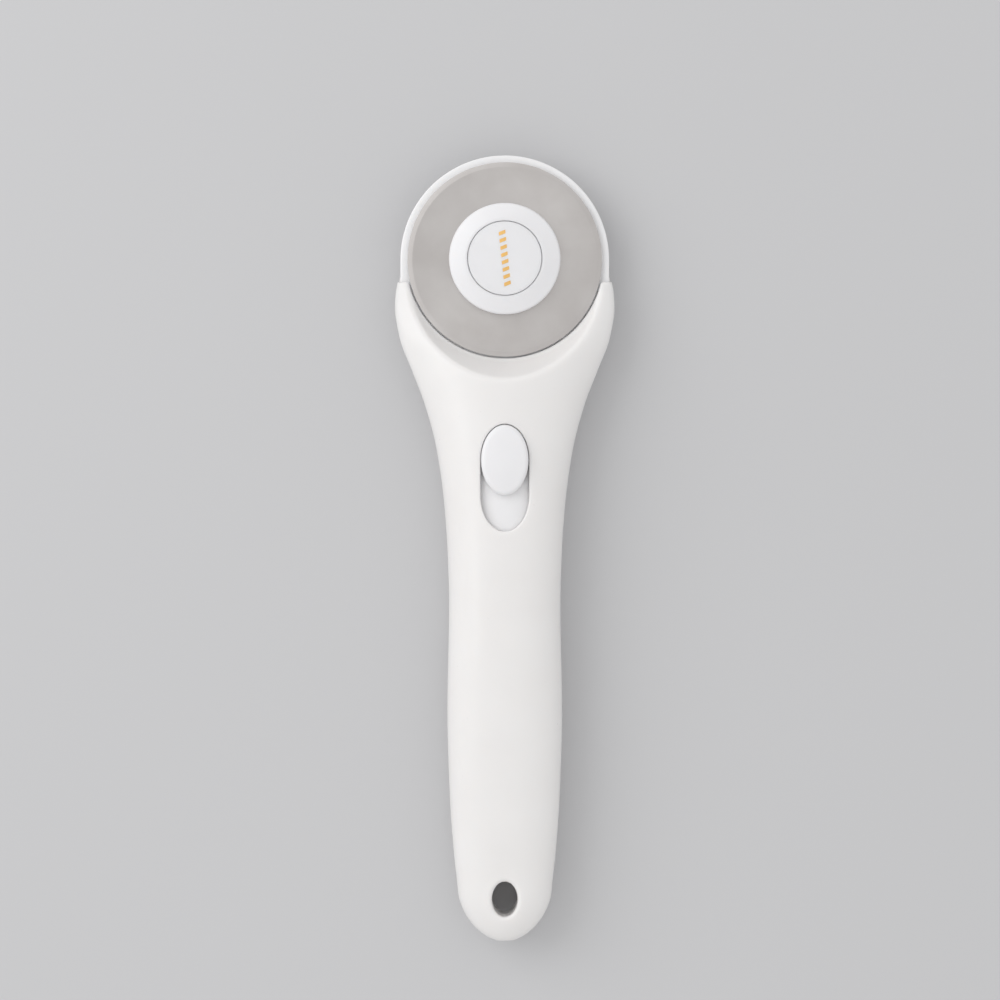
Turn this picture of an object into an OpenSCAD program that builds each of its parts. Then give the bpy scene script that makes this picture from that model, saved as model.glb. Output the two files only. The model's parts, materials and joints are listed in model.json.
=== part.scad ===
/* [Blade] */
// Diameter of the round blade
blade_d = 45; // [44.6:0.1:45.2]
// Thickness of the blade
blade_t = 0.3; // [0.25:0.05:0.35]
// Diameter of the hole in the blade
blade_bore_d = 8; // [7.8:0.1:8]

/* [Hub] */
// Diameter of the white hub cap
hub_d = 25.8; // [24:0.2:27]
// Diameter of the plug set into the hub cap
plug_d = 17; // [15:0.2:18]
// Height of the hub cap's top face
hub_top_z = 15; // [14.8:0.1:15.6]

/* [Guard] */
// Width of the guard that shows around the blade
guard_margin = 1.7; // [1.4:0.1:1.8]
// Height of the guard's underside
guard_z = 7.8; // [7.7:0.1:8]
// Thickness of the guard
guard_t = 1.3; // [1.1:0.1:1.4]
// How far the guard slides back
guard_travel = 8.2; // [7.4:0.1:8.4]

/* [Handle] */
// Overall length, from the guard's tip to the end of the handle
total_length = 182; // [179:1:190]
// Height of the handle at the slide button
crown_z = 18; // [17.6:0.1:18.6]
// Thickness of the shells' walls
wall = 1.6; // [1.4:0.1:1.7]
// Width of the oval hanging hole
hang_w = 5.9; // [5.4:0.1:6.6]
// Length of the oval hanging hole
hang_l = 8.2; // [7.4:0.1:8.8]

/* [Slide button] */
// Width of the oval button
button_w = 10.9; // [10:0.1:11.6]
// Length of the oval button
button_l = 16.2; // [15:0.2:17]
// Height that the button stands above the handle
button_rise = 1.5; // [1:0.1:2]
// Distance of the button behind the blade axis
button_s = 46.5; // [46:0.5:48]

/* [Blade release] */
// Diameter of the release button's opening in the back
release_d = 12; // [11:0.2:12.4]
// How far the release button is pressed
release_travel = 2; // [1.8:0.1:2]

/* [Hidden] */
$fn = 96;
gap = 0.3;
fit = 0.05;
far = 40;
thirds = [0, 120, 240];

// Everything along the length is measured from the blade axis, and s grows towards the handle's end.
guard_r = blade_d / 2 + guard_margin;
axis_y = total_length / 2 - guard_r;
tail_s = total_length - guard_r;
guard_top = guard_z + guard_t;
part_z = guard_top + gap;
pocket_z = guard_z - gap;
pocket_r = guard_r + 0.15;

// Outline of the shells: distance behind the blade axis, half width.
neck_s = 60;
design_tail_s = 157.8;
outline = [
    [0, 23.9], [5, 24.8], [8, 25.3], [11, 25.45], [18, 24.4], [26, 21.4], [34, 18.4], [44, 15.8],
    [56, 14.1], [68, 13.25], [80, 12.9], [104, 13.3], [124, 12.75], [138, 11.75], [146, 10.9],
    [158, 10.3]
];
// Drop of the front shell's ridge below the crown, along the length.
ridge_drop = [
    [5, 5.6], [9.5, 4.6], [14, 2.8], [20, 0.9], [31, 0], [76, 0], [104, 0.4], [130, 1.6], [146, 2.6],
    [158, 3.4]
];
// Roundness of the front shell's section: 2 is an ellipse, and more is squarer.
front_power = [[5, 1.65], [20, 1.75], [44, 2.1], [60, 2.2], [158, 2.2]];
back_power = 2.4;
// Roundness of the outline at both ends.
plan_power = 1.85;
back_depth = part_z + 0.6;
seam_s = 5.2;
tongue_s = -15.5;
tail_round = 11.8;
end_flat = 0.2;

// The dish round the blade: its radius at the parting plane, and its growth with height.
scoop_r = blade_d / 2 + 0.3;
scoop_slope = 0.62;
// How far back the guard's sides run straight, to just under the end of the front shell.
guard_side_s = seam_s + 0.4;

blade_gap = 0.95;
blade_z = guard_top + blade_gap;
hub_z = blade_z + blade_t;
hub_fall = 1.4;
plug_rise = 0.35;
shoulder_z = guard_top + 0.25;
washer_t = 0.35;
bush_flange_t = 0.3;
journal_r = 3.25;
plug_z = hub_top_z - 1.1;
arbor_top = plug_z - gap;
pin_r = 1.4;
pin_top = plug_z - release_travel - gap;
ball_r = 1.05;
ball_z = pin_top - 0.4;
waist_r = 0.9;
pin_foot_r = 1.1;
arbor_flange_t = 1.4;
flange_z = pocket_z - arbor_flange_t;
flange_r = 11.8;
boss_r = 13.4;
arbor_screw_r = 9.3;

release_lip = 1.3;
release_flange_r = release_d / 2 + 1.1;
release_recess = 0.4;
release_flange_z = release_lip + 0.2;
release_flange_t = 1;
release_well_r = release_flange_r + gap;

slot_gap = 0.15;
plate_top = crown_z - wall - 0.25;
plate_r = 18;
plate_t = 1.1;
plate_half_w = 7.2;
plate_front_s = button_s - 16.9;
plate_back_s = button_s + 18;
stem_half_w = 7;
stem_end_s = 64;
detent_s = 60;
detent_fix_s = 76.5;
leaf_z = pocket_z - 0.9;
leaf_t = 0.3;
leaf_half_w = 2.4;

head_screw = [10.8, 33.4];
hang_s = tail_s - 10.1;
handle_screws = [[0, 86], [0, tail_s - 29.8]];

// ---- Curves ----

function slope(t, i) = (t[i + 1][1] - t[i][1]) / (t[i + 1][0] - t[i][0]);
// Tangent at a station, flat at each high or low point so that the curve never overshoots.
function tangent(t, i) =
    i == 0 ? slope(t, 0) :
    i == len(t) - 1 ? slope(t, i - 1) :
    slope(t, i - 1) * slope(t, i) <= 0 ? 0 :
    2 * slope(t, i - 1) * slope(t, i) / (slope(t, i - 1) + slope(t, i));
function hermite(t, i, d, u) =
    t[i][1] * (2 * u * u * u - 3 * u * u + 1) + tangent(t, i) * d * (u * u * u - 2 * u * u + u)
    + t[i + 1][1] * (3 * u * u - 2 * u * u * u) + tangent(t, i + 1) * d * (u * u * u - u * u);
function segment(t, s, i = 0) = i >= len(t) - 2 || s < t[i + 1][0] ? i : segment(t, s, i + 1);
function curve(t, s) =
    s <= t[0][0] ? t[0][1] :
    let (i = segment(t, s), d = t[i + 1][0] - t[i][0]) hermite(t, i, d, (s - t[i][0]) / d);
// A longer or shorter handle is stretched behind its neck.
function design_s(s) =
    s < neck_s ? s : neck_s + (s - neck_s) * (design_tail_s - neck_s) / (tail_s - neck_s);
function half_width(s) = curve(outline, design_s(s));
function front_height(s) = crown_z - curve(ridge_drop, design_s(s)) - part_z;
function power_of(a, power) = sign(a) * pow(abs(a), 2 / power);
function remainder(u, power) = pow(max(0, 1 - pow(u, power)), 1 / power);
// How far a station is into a rounded end: 0 before the rounding starts and 1 where it closes.
function end_u(s, inset) = max(
    0,
    (s - tail_s + tail_round) / (tail_round + end_flat - inset),
    (seam_s - s) / (seam_s - tongue_s + end_flat - inset)
);

// ---- Lofts ----

// A station's half section: up is 1 for the front shell and -1 for the rear shell.
// inset is the wall left outside, and skirt carries an inner section past the parting plane.
function half_section(s, up, inset, skirt, count) =
    let (
        u = end_u(s, inset),
        w0 = half_width(s) - inset,
        w = w0 * remainder(u, plan_power),
        h = (up > 0 ? front_height(s) : back_depth) - inset,
        power = up > 0 ? curve(front_power, design_s(s)) : back_power,
        arch = [
            for (i = [0:count])
                let (
                    x = w * power_of(cos(180 * i / count), power),
                    reach = pow(pow(abs(x) / w0, plan_power) + pow(u, plan_power), 1 / plan_power)
                )
                [x, max(part_z + up * h * remainder(reach, power), inset)]
        ],
        low = part_z - up * skirt
    )
    [for (p = skirt > 0 ? concat([[w, low]], arch, [[-w, low]]) : arch) [p[0], -s, p[1]]];

function loft_faces(rings, n) = concat(
    [[for (j = [0:n - 1]) j]],
    [[for (j = [n - 1:-1:0]) (rings - 1) * n + j]],
    [for (i = [0:rings - 2]) for (j = [0:n - 1])
        let (k = (j + 1) % n) [i * n + j, (i + 1) * n + j, (i + 1) * n + k]],
    [for (i = [0:rings - 2]) for (j = [0:n - 1])
        let (k = (j + 1) % n) [i * n + j, (i + 1) * n + k, i * n + k]]
);

module loft(sections, flip) {
    n = len(sections[0]);
    faces = loft_faces(len(sections), n);
    polyhedron(
        points = [for (section = sections) for (p = section) p],
        faces = flip ? [for (f = faces) [for (j = [len(f) - 1:-1:0]) f[j]]] : faces
    );
}

function stations(start, step, end_steps, end) = concat(
    [for (s = [start:step:tail_s - tail_round - step / 2]) s],
    [for (i = [0:end_steps])
        tail_s - tail_round + (end - tail_s + tail_round) * sin(90 * i / end_steps)]
);
function tongue_stations(start, steps) =
    [for (i = [0:steps - 1]) seam_s - (seam_s - start) * cos(90 * i / steps)];

module front_solid() {
    loft([for (s = stations(seam_s, 5, 6, tail_s)) half_section(s, 1, 0, 0, 16)], false);
}

module front_hollow() {
    inner_end = tail_s - wall - 0.4;
    loft([for (s = stations(seam_s + wall, 8, 4, inner_end)) half_section(s, 1, wall, 1, 10)], false);
}

module rear_solid() {
    list = concat(tongue_stations(tongue_s, 5), stations(seam_s, 5, 6, tail_s));
    loft([for (s = list) half_section(s, -1, 0, 0, 16)], true);
}

module rear_hollow() {
    inner_end = tail_s - wall - 0.4;
    list = concat(tongue_stations(1 - boss_r, 4), stations(seam_s, 8, 4, inner_end));
    loft([for (s = list) half_section(s, -1, wall, 1, 10)], true);
}

// ---- Shared shapes ----

module on_axis() {
    translate([0, axis_y, 0]) children();
}

module post(x, s, r, low, high) {
    translate([x, -s, low]) cylinder(r = r, h = high - low);
}

module bar(x, s0, s1, half_w, low, high) {
    translate([x - half_w, -s1, low]) cube([2 * half_w, s1 - s0, high - low]);
}

module cross_rib(x, s, half_w, low, high) {
    bar(x, s - rib_t / 2, s + rib_t / 2, half_w, low, high);
}

module oval(w, l, s, low, high) {
    translate([0, -s, low]) linear_extrude(high - low)
        polygon([for (a = [0:7.5:352.5]) [w / 2 * cos(a), l / 2 * sin(a)]]);
}

module at_screws() {
    for (side = [-1, 1]) translate([side * head_screw[0], -head_screw[1], 0]) children();
    for (p = handle_screws) translate([p[0], -p[1], 0]) children();
}

module screw(head_r, head_t, shank_r, shank_l, flat_head) {
    difference() {
        union() {
            cylinder(r1 = head_r, r2 = flat_head ? shank_r : head_r, h = head_t);
            translate([0, 0, head_t / 2]) cylinder(r = shank_r, h = shank_l + head_t / 2);
        }
        for (a = [0, 90]) rotate(a)
            translate([-head_r * 0.6, -head_r * 0.12, -1])
                cube([head_r * 1.2, head_r * 0.24, 1 + head_t * 0.45]);
    }
}

// ---- Handle shells ----

screw_seat_z = 4.8;
screw_head_t = 1.5;
screw_pilot_r = 1.15;
counterbore_r = 2.9;
// Pillars that screws thread into, and the wider ones round the screw heads.
pillar_r = 3;
rear_pillar_r = 4.4;
rib_t = 1.4;
// Cross ribs: under the guard's stem, beside the detent spring, and in the grip.
stem_rib_s = 38;
leaf_rib_s = 68;
leaf_rib_x = 11.5;
grip_rib_s = [104, 116];
spoke_angles = [15, 55, 125, 165, 205, 235, 305, 335];

module scoop(extra) {
    rise = far / 2;
    low_r = scoop_r + extra - scoop_slope;
    translate([0, 0, part_z - 1])
        cylinder(r1 = low_r, r2 = low_r + scoop_slope * rise, h = rise, $fn = 128);
}

module button_slot() {
    half_w = button_w / 2 + slot_gap;
    half_l = button_l / 2 + slot_gap;
    back_s = button_s + guard_travel;
    translate([0, 0, crown_z - 5]) linear_extrude(far)
        polygon([
            for (a = [0:7.5:180]) [half_w * cos(a), -button_s + half_l * sin(a)],
            for (a = [180:7.5:360]) [half_w * cos(a), -back_s + half_l * sin(a)]
        ]);
}

module front_shell() {
    color([0.96, 0.955, 0.94]) on_axis() difference() {
        front_solid();
        difference() {
            front_hollow();
            scoop(wall + 0.2);
            at_screws() cylinder(r = pillar_r, h = far);
            oval(hang_w + 2 * wall, hang_l + 2 * wall, hang_s, 0, far);
            for (s = grip_rib_s) cross_rib(0, s, far, part_z + 3, far);
        }
        scoop(0);
        button_slot();
        at_screws() translate([0, 0, -1]) cylinder(r = screw_pilot_r, h = part_z + 6);
        oval(hang_w, hang_l, hang_s, -1, far);
    }
}

module guard_pocket() {
    slide = guard_travel + gap;
    for (s = [0, slide]) post(0, s, pocket_r, pocket_z, far);
    bar(0, 0, guard_side_s + slide, pocket_r, pocket_z, far);
    bar(0, tongue_s - 1, seam_s, far, pocket_z, far);
    bar(0, guard_r, stem_end_s + slide + gap, stem_half_w + gap, pocket_z, far);
}

module rear_shell() {
    color([0.95, 0.945, 0.93]) on_axis() difference() {
        rear_solid();
        difference() {
            rear_hollow();
            post(0, 0, boss_r, -1, far);
            for (a = spoke_angles) rotate(a)
                translate([boss_r - 1, -rib_t / 2, -1]) cube([far, rib_t, far]);
            at_screws() cylinder(r = rear_pillar_r, h = far);
            cross_rib(0, stem_rib_s, far, -1, pocket_z);
            for (side = [-1, 1]) cross_rib(side * leaf_rib_x, leaf_rib_s, 8.5, -1, pocket_z);
            for (s = grip_rib_s) cross_rib(0, s, far, -1, pocket_z - 2);
            post(0, detent_fix_s, pillar_r, -1, leaf_z);
            oval(hang_w + 2 * wall, hang_l + 2 * wall, hang_s, -1, far);
        }
        guard_pocket();
        post(0, 0, release_d / 2, -1, far);
        post(0, 0, release_well_r, release_lip, far);
        post(0, 0, flange_r + fit, flange_z, far);
        for (a = thirds) rotate(a + 90) translate([arbor_screw_r, 0, 2.4]) cylinder(r = 0.85, h = far);
        at_screws() translate([0, 0, -1]) cylinder(r = counterbore_r, h = screw_seat_z + 1);
        at_screws() translate([0, 0, -1]) cylinder(r = 1.5, h = far);
        post(0, detent_fix_s, 0.85, 3, far);
        oval(hang_w, hang_l, hang_s, -1, far);
    }
}

module shell_screws() {
    color([0.72, 0.72, 0.74]) on_axis() at_screws()
        translate([0, 0, screw_seat_z - screw_head_t]) screw(2.6, screw_head_t, 1.1, 8.6, false);
}

// ---- Guard and its slider ----

module blade_guard() {
    slot_r = 4.8;
    color([0.93, 0.94, 0.96]) on_axis() difference() {
        union() {
            post(0, 0, guard_r, guard_z, guard_top);
            bar(0, 0, guard_side_s, guard_r, guard_z, guard_top);
            bar(0, guard_r / 2, stem_end_s, stem_half_w, guard_z, guard_top);
        }
        for (s = [-guard_travel, 0]) post(0, s, slot_r, -1, far);
        bar(0, -guard_travel, 0, slot_r, -1, far);
        post(0, button_s, 1.3, -1, far);
        for (s = [detent_s - guard_travel, detent_s])
            translate([-far, -s, guard_z]) rotate([0, 90, 0]) cylinder(r = 0.8, h = 2 * far);
    }
}

module arched(r, half_w, s0, s1, low) {
    intersection() {
        translate([0, -s1, plate_top - plate_r]) rotate([-90, 0, 0]) cylinder(r = r, h = s1 - s0);
        bar(0, s0 - 1, s1 + 1, half_w, low, far);
    }
}

module slider_plate() {
    foot = 3.4;
    color([0.93, 0.94, 0.96]) on_axis() difference() {
        union() {
            difference() {
                arched(plate_r, plate_half_w, plate_front_s, plate_back_s, part_z);
                translate([0, -far * 2, plate_top - plate_r]) rotate([-90, 0, 0])
                    cylinder(r = plate_r - plate_t, h = far * 2);
            }
            bar(0, button_s - 5, button_s + 5, foot, guard_top, plate_top - plate_t);
        }
        post(0, button_s, 0.9, guard_top - 1, guard_top + 5);
    }
}

module slide_button() {
    crown_r = 30;
    color([0.95, 0.96, 0.98]) on_axis() difference() {
        intersection() {
            oval(button_w, button_l, button_s, part_z, far);
            translate([0, -button_s, crown_z + button_rise - crown_r]) sphere(r = crown_r);
        }
        translate([0, -far * 2, plate_top - plate_r]) rotate([-90, 0, 0])
            cylinder(r = plate_r, h = far * 2);
    }
}

module slider_screw() {
    head_t = 1.2;
    color([0.72, 0.72, 0.74]) on_axis() translate([0, -button_s, guard_z - head_t])
        screw(2.2, head_t, 0.9, guard_t + 4, false);
}

module detent_spring() {
    nose_r = 0.5;
    color([0.7, 0.71, 0.73]) on_axis() difference() {
        union() {
            bar(0, detent_s - 2, detent_fix_s + leaf_half_w, leaf_half_w, leaf_z, leaf_z + leaf_t);
            bar(0, detent_s - nose_r, detent_s + nose_r, leaf_half_w, leaf_z, guard_z);
            translate([-leaf_half_w, -detent_s, guard_z - 0.1]) rotate([0, 90, 0])
                cylinder(r = nose_r, h = 2 * leaf_half_w);
        }
        post(0, detent_fix_s, 0.95, -1, far);
    }
}

module detent_screw() {
    head_t = 1.1;
    color([0.72, 0.72, 0.74]) on_axis() translate([0, -detent_fix_s, leaf_z + leaf_t + head_t])
        mirror([0, 0, 1]) screw(1.9, head_t, 0.85, 3.4, false);
}

// ---- Arbor and blade release ----

module arbor() {
    color([0.62, 0.63, 0.66]) on_axis() difference() {
        union() {
            post(0, 0, flange_r, flange_z, pocket_z);
            post(0, 0, 4.5, pocket_z - 0.1, shoulder_z);
            post(0, 0, journal_r, shoulder_z - 0.1, arbor_top - 0.5);
            translate([0, 0, arbor_top - 0.5]) cylinder(r1 = journal_r, r2 = journal_r - 0.5, h = 0.5);
        }
        post(0, 0, pin_r + fit, -1, far);
        for (a = thirds) rotate(a)
            translate([0, 0, ball_z]) rotate([0, 90, 0]) cylinder(r = ball_r + fit, h = 10);
        for (a = thirds) rotate(a + 90) translate([arbor_screw_r, 0, flange_z - 1]) {
            cylinder(r = 1.1, h = far);
            translate([0, 0, 1.3]) cylinder(r1 = 0.9, r2 = 2, h = 1.1);
        }
    }
}

module arbor_screws() {
    color([0.72, 0.72, 0.74]) on_axis() for (a = thirds) rotate(a + 90)
        translate([arbor_screw_r, 0, pocket_z]) mirror([0, 0, 1]) screw(1.85, 1, 0.8, 3.6, true);
}

module thrust_washer() {
    color([0.78, 0.64, 0.36]) on_axis() difference() {
        post(0, 0, 6, shoulder_z, shoulder_z + washer_t);
        post(0, 0, journal_r + fit, -1, far);
    }
}

module latch_balls() {
    color([0.75, 0.75, 0.77]) on_axis() for (a = thirds) rotate(a)
        translate([pin_r + fit + ball_r, 0, ball_z]) sphere(r = ball_r, $fn = 48);
}

module release_button() {
    color([0.93, 0.94, 0.96]) on_axis() difference() {
        union() {
            post(0, 0, release_d / 2 - 0.2, release_recess, release_flange_z + 0.1);
            post(0, 0, release_flange_r, release_flange_z, release_flange_z + release_flange_t);
        }
        translate([0, 0, release_recess - 24.6]) sphere(r = 25);
        post(0, 0, pin_foot_r, release_flange_z - 0.2, far);
    }
}

module release_pin() {
    seat = release_flange_z + release_flange_t;
    waist_top = ball_z - 0.45;
    waist_low = waist_top - release_travel - 0.4;
    color([0.72, 0.72, 0.74]) on_axis() {
        post(0, 0, pin_foot_r, release_flange_z - 0.2, seat);
        post(0, 0, pin_r, seat, waist_low);
        post(0, 0, waist_r, waist_low, waist_top);
        post(0, 0, pin_r, waist_top, pin_top);
    }
}

spring_wire_r = 0.22;
spring_r = 4.6;
spring_turns = 3;
spring_low = release_flange_z + release_flange_t + spring_wire_r + 0.02;
spring_high = flange_z - spring_wire_r - 0.02;

function spring_ring(u) =
    let (turn = 360 * spring_turns * u, z = spring_low + (spring_high - spring_low) * u)
    [for (j = [0:7])
        let (b = 45 * j, r = spring_r + spring_wire_r * cos(b))
        [r * cos(turn), r * sin(turn), z + spring_wire_r * sin(b)]];

module release_spring() {
    steps = 16 * spring_turns;
    color([0.7, 0.71, 0.73]) on_axis() loft([for (i = [0:steps]) spring_ring(i / steps)], false);
}

// ---- Blade assembly ----

module blade() {
    edge_r = blade_d / 2;
    bevel = 1;
    color([0.74, 0.73, 0.71]) on_axis() difference() {
        union() {
            post(0, 0, edge_r - bevel, blade_z, blade_z + blade_t);
            for (side = [0, 1]) translate([0, 0, blade_z + blade_t / 2]) mirror([0, 0, side])
                cylinder(r1 = edge_r, r2 = edge_r - bevel, h = blade_t / 2);
        }
        post(0, 0, blade_bore_d / 2, -1, far);
    }
}

module hub_bush() {
    color([0.78, 0.64, 0.36]) on_axis() difference() {
        union() {
            post(0, 0, 6.5, blade_z - bush_flange_t, blade_z);
            post(0, 0, blade_bore_d / 2 - 0.02, blade_z - 0.1, plug_z);
        }
        post(0, 0, journal_r + fit, -1, far);
        post(0, 0, journal_r + 0.45, ball_z - 0.85, ball_z + 0.85);
    }
}

module hub_cap() {
    rim_z = hub_top_z - hub_fall;
    color([0.95, 0.955, 0.965]) on_axis() difference() {
        union() {
            post(0, 0, hub_d / 2, hub_z, rim_z);
            translate([0, 0, rim_z]) cylinder(r1 = hub_d / 2, r2 = plug_d / 2 + 0.6, h = hub_fall);
        }
        post(0, 0, blade_bore_d / 2, -1, far);
        post(0, 0, plug_d / 2 + 0.1, plug_z, far);
    }
}

module hub_plug() {
    plug_r = plug_d / 2;
    edge_z = hub_top_z - 0.05;
    dome = [for (t = [0:0.125:1]) [plug_r * (1 - t), edge_z + plug_rise * t * (2 - t)]];
    color([0.95, 0.955, 0.965]) on_axis() rotate_extrude()
        polygon(concat([[0, plug_z], [plug_r, plug_z]], dome));
}

front_shell();
rear_shell();
shell_screws();
blade_guard();
slider_plate();
slide_button();
slider_screw();
detent_spring();
detent_screw();
arbor();
arbor_screws();
thrust_washer();
latch_balls();
hub_bush();
blade();
hub_cap();
hub_plug();
release_button();
release_pin();
release_spring();
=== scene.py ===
"""A 45 mm rotary cutter: the looks of every piece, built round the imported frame.

Lengths are in millimetres unless a name says otherwise. Shapes are worked out in the tool's own
frame, with x to the right, y along the handle from the blade axis towards the guard's tip, and z up
from the flat back. s is the distance behind the blade axis, so s = -y.
"""

import json
import math

import bpy
import numpy as np
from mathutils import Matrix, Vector
from mathutils.geometry import tessellate_polygon


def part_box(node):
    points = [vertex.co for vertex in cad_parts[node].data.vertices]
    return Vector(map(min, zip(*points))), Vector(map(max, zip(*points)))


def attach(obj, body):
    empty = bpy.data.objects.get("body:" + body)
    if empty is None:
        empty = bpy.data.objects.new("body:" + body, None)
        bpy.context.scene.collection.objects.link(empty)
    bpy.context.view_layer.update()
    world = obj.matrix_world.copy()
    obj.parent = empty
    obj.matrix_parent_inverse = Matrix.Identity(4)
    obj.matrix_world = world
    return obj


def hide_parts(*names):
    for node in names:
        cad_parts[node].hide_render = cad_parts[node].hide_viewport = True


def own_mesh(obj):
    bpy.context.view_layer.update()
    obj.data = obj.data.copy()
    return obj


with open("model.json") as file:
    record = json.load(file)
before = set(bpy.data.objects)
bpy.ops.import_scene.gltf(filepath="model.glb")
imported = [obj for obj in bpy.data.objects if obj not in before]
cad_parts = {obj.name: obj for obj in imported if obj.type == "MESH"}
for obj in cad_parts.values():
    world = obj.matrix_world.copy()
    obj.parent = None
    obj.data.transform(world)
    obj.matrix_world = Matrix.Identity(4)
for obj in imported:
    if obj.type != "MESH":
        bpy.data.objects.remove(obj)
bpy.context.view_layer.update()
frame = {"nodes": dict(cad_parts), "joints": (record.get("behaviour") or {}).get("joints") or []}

MM = 0.001


def node_box(name):
    """Lowest and highest corner of a CAD node, in millimetres."""
    return tuple(np.array(corner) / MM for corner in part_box(name))


# ---- Sizes taken from the frame ----

BLADE_LOW, BLADE_HIGH = node_box("blade")
GUARD_LOW, GUARD_HIGH = node_box("blade_guard")
HUB_LOW, HUB_HIGH = node_box("hub_cap")
PLUG_LOW, PLUG_HIGH = node_box("hub_plug")
BUTTON_LOW, BUTTON_HIGH = node_box("slide_button")
PLATE_LOW, PLATE_HIGH = node_box("slider_plate")
RELEASE_LOW, RELEASE_HIGH = node_box("release_button")
SPRING_LOW, SPRING_HIGH = node_box("release_spring")
FRONT_LOW, FRONT_HIGH = node_box("front_shell")
REAR_HIGH = node_box("rear_shell")[1]

AXIS_Y = (BLADE_LOW[1] + BLADE_HIGH[1]) / 2
BLADE_R = (BLADE_HIGH[0] - BLADE_LOW[0]) / 2
GUARD_R = (GUARD_HIGH[0] - GUARD_LOW[0]) / 2
PART_Z = FRONT_LOW[2]
CROWN_Z = FRONT_HIGH[2]
SEAM_S = AXIS_Y - FRONT_HIGH[1]
TAIL_S = AXIS_Y - FRONT_LOW[1]
TONGUE_S = AXIS_Y - REAR_HIGH[1]
REACH = {j["name"]: j["range_m"][1] / MM for j in frame["joints"] if j["type"] == "slide"}
TRAVEL = REACH["guard_slide"]

# ---- Sizes that the shells share with the CAD ----

OUTLINE = [
    (0, 23.9), (5, 24.8), (8, 25.3), (11, 25.45), (18, 24.4), (26, 21.4), (34, 18.4), (44, 15.8),
    (56, 14.1), (68, 13.25), (80, 12.9), (104, 13.3), (124, 12.75), (138, 11.75), (146, 10.9),
    (158, 10.3),
]
RIDGE_DROP = [
    (5, 5.6), (9.5, 4.6), (14, 2.8), (20, 0.9), (31, 0), (76, 0), (104, 0.4), (130, 1.6),
    (146, 2.6), (158, 3.4),
]
FRONT_POWER = [(5, 1.65), (20, 1.75), (44, 2.1), (60, 2.2), (158, 2.2)]
BACK_POWER = 2.4
PLAN_POWER = 1.85
TAIL_ROUND = 11.8
END_FLAT = 0.2
WALL = 1.6
BACK_DEPTH = PART_Z + 0.6
SCOOP_R = BLADE_R + 0.2
SCOOP_SLOPE = 0.62
SCOOP_LIP = 0.28
BUTTON_S = AXIS_Y - (BUTTON_LOW[1] + BUTTON_HIGH[1]) / 2
SLOT_GAP = 0.15
SLOT_HALF_W = (BUTTON_HIGH[0] - BUTTON_LOW[0]) / 2 + SLOT_GAP
SLOT_HALF_L = (BUTTON_HIGH[1] - BUTTON_LOW[1]) / 2 + SLOT_GAP
HANG_S = TAIL_S - 10.1
HANG_HALF = (2.95, 4.1)
SCREWS = [(10.8, 33.4), (-10.8, 33.4), (0, 86), (0, TAIL_S - 29.8)]
SCREW_SEAT_Z = 4.8
SCREW_HOLE_R = 1.5
PILOT_R = 1.15
PILOT_DEPTH = 5
COUNTERBORE_R = 2.9
PILLAR_R = 3
REAR_PILLAR_R = 4.4
FRONT_RIB_T = 1.2
FRONT_RIB_REACH = 3
RIB_T = 1.4
STEM_RIB_S = 38
LEAF_RIB_S = 68
LEAF_RIB_GAP = 3
GRIP_RIB_S = (104, 116)
SPOKES = (15, 55, 125, 165, 205, 235, 305, 335)
BOSS_R = 13.4
FLANGE_R = 11.85
GAP = 0.3
POCKET_Z = GUARD_LOW[2] - GAP
POCKET_R = GUARD_R + 0.15
GUARD_SIDE_S = SEAM_S + 0.4
FLANGE_Z = POCKET_Z - 1.4
STEM_HALF_W = 7
STEM_END_S = AXIS_Y - GUARD_LOW[1]
PLATE_R = 18
PLATE_T = 1.1
LEG_HALF = (3.4, 5)
LEG_TOP_Z = 15.6
DETENT_FIX_S = 76.5
DETENT_SEAT_Z = POCKET_Z - 0.9
RELEASE_HOLE_R = (RELEASE_HIGH[0] - RELEASE_LOW[0]) / 2 - 1.1
RELEASE_ROOM_R = RELEASE_HOLE_R + 1.4
RELEASE_LIP_T = 1.3


# ---- Distance functions ----


def station_curve(points):
    """The smooth curve through the stations, which never overshoots them, and its slope."""
    at, value = np.array(points, float).T
    rise = np.diff(value) / np.diff(at)
    tangent = np.zeros(len(at))
    tangent[0], tangent[-1] = rise[0], rise[-1]
    same_way = rise[:-1] * rise[1:] > 0
    middle = 2 * rise[:-1] * rise[1:] / np.where(same_way, rise[:-1] + rise[1:], 1)
    tangent[1:-1] = np.where(same_way, middle, 0)
    fine = np.arange(at[0], at[-1], 0.1)
    i = np.clip(np.searchsorted(at, fine, side="right") - 1, 0, len(at) - 2)
    step = at[i + 1] - at[i]
    u = (fine - at[i]) / step
    curve = (
        value[i] * (2 * u**3 - 3 * u**2 + 1)
        + tangent[i] * step * (u**3 - 2 * u**2 + u)
        + value[i + 1] * (3 * u**2 - 2 * u**3)
        + tangent[i + 1] * step * (u**3 - u**2)
    )
    slope = np.gradient(curve, fine)
    return lambda s: np.interp(s, fine, curve), lambda s: np.interp(s, fine, slope)


half_width, half_width_slope = station_curve(OUTLINE)
ridge_drop, ridge_drop_slope = station_curve(RIDGE_DROP)
front_power, _ = station_curve(FRONT_POWER)


def cut(a, b, r=0.0):
    """What is inside both a and b, with their common edge rounded by about r."""
    if r == 0:
        return np.maximum(a, b)
    return np.maximum(a, b) + np.maximum(r - np.abs(a - b), 0) ** 2 / (4 * r)


def join(a, b, r=0.0):
    """What is inside a or b, with the corner between them filled by about r."""
    return -cut(-a, -b, r)


def disc(x, y, r, at_x=0.0, at_y=0.0):
    return np.hypot(x - at_x, y - at_y) - r


def block(x, y, half_x, half_y, at_x=0.0, at_y=0.0):
    return np.maximum(np.abs(x - at_x) - half_x, np.abs(y - at_y) - half_y)


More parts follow.
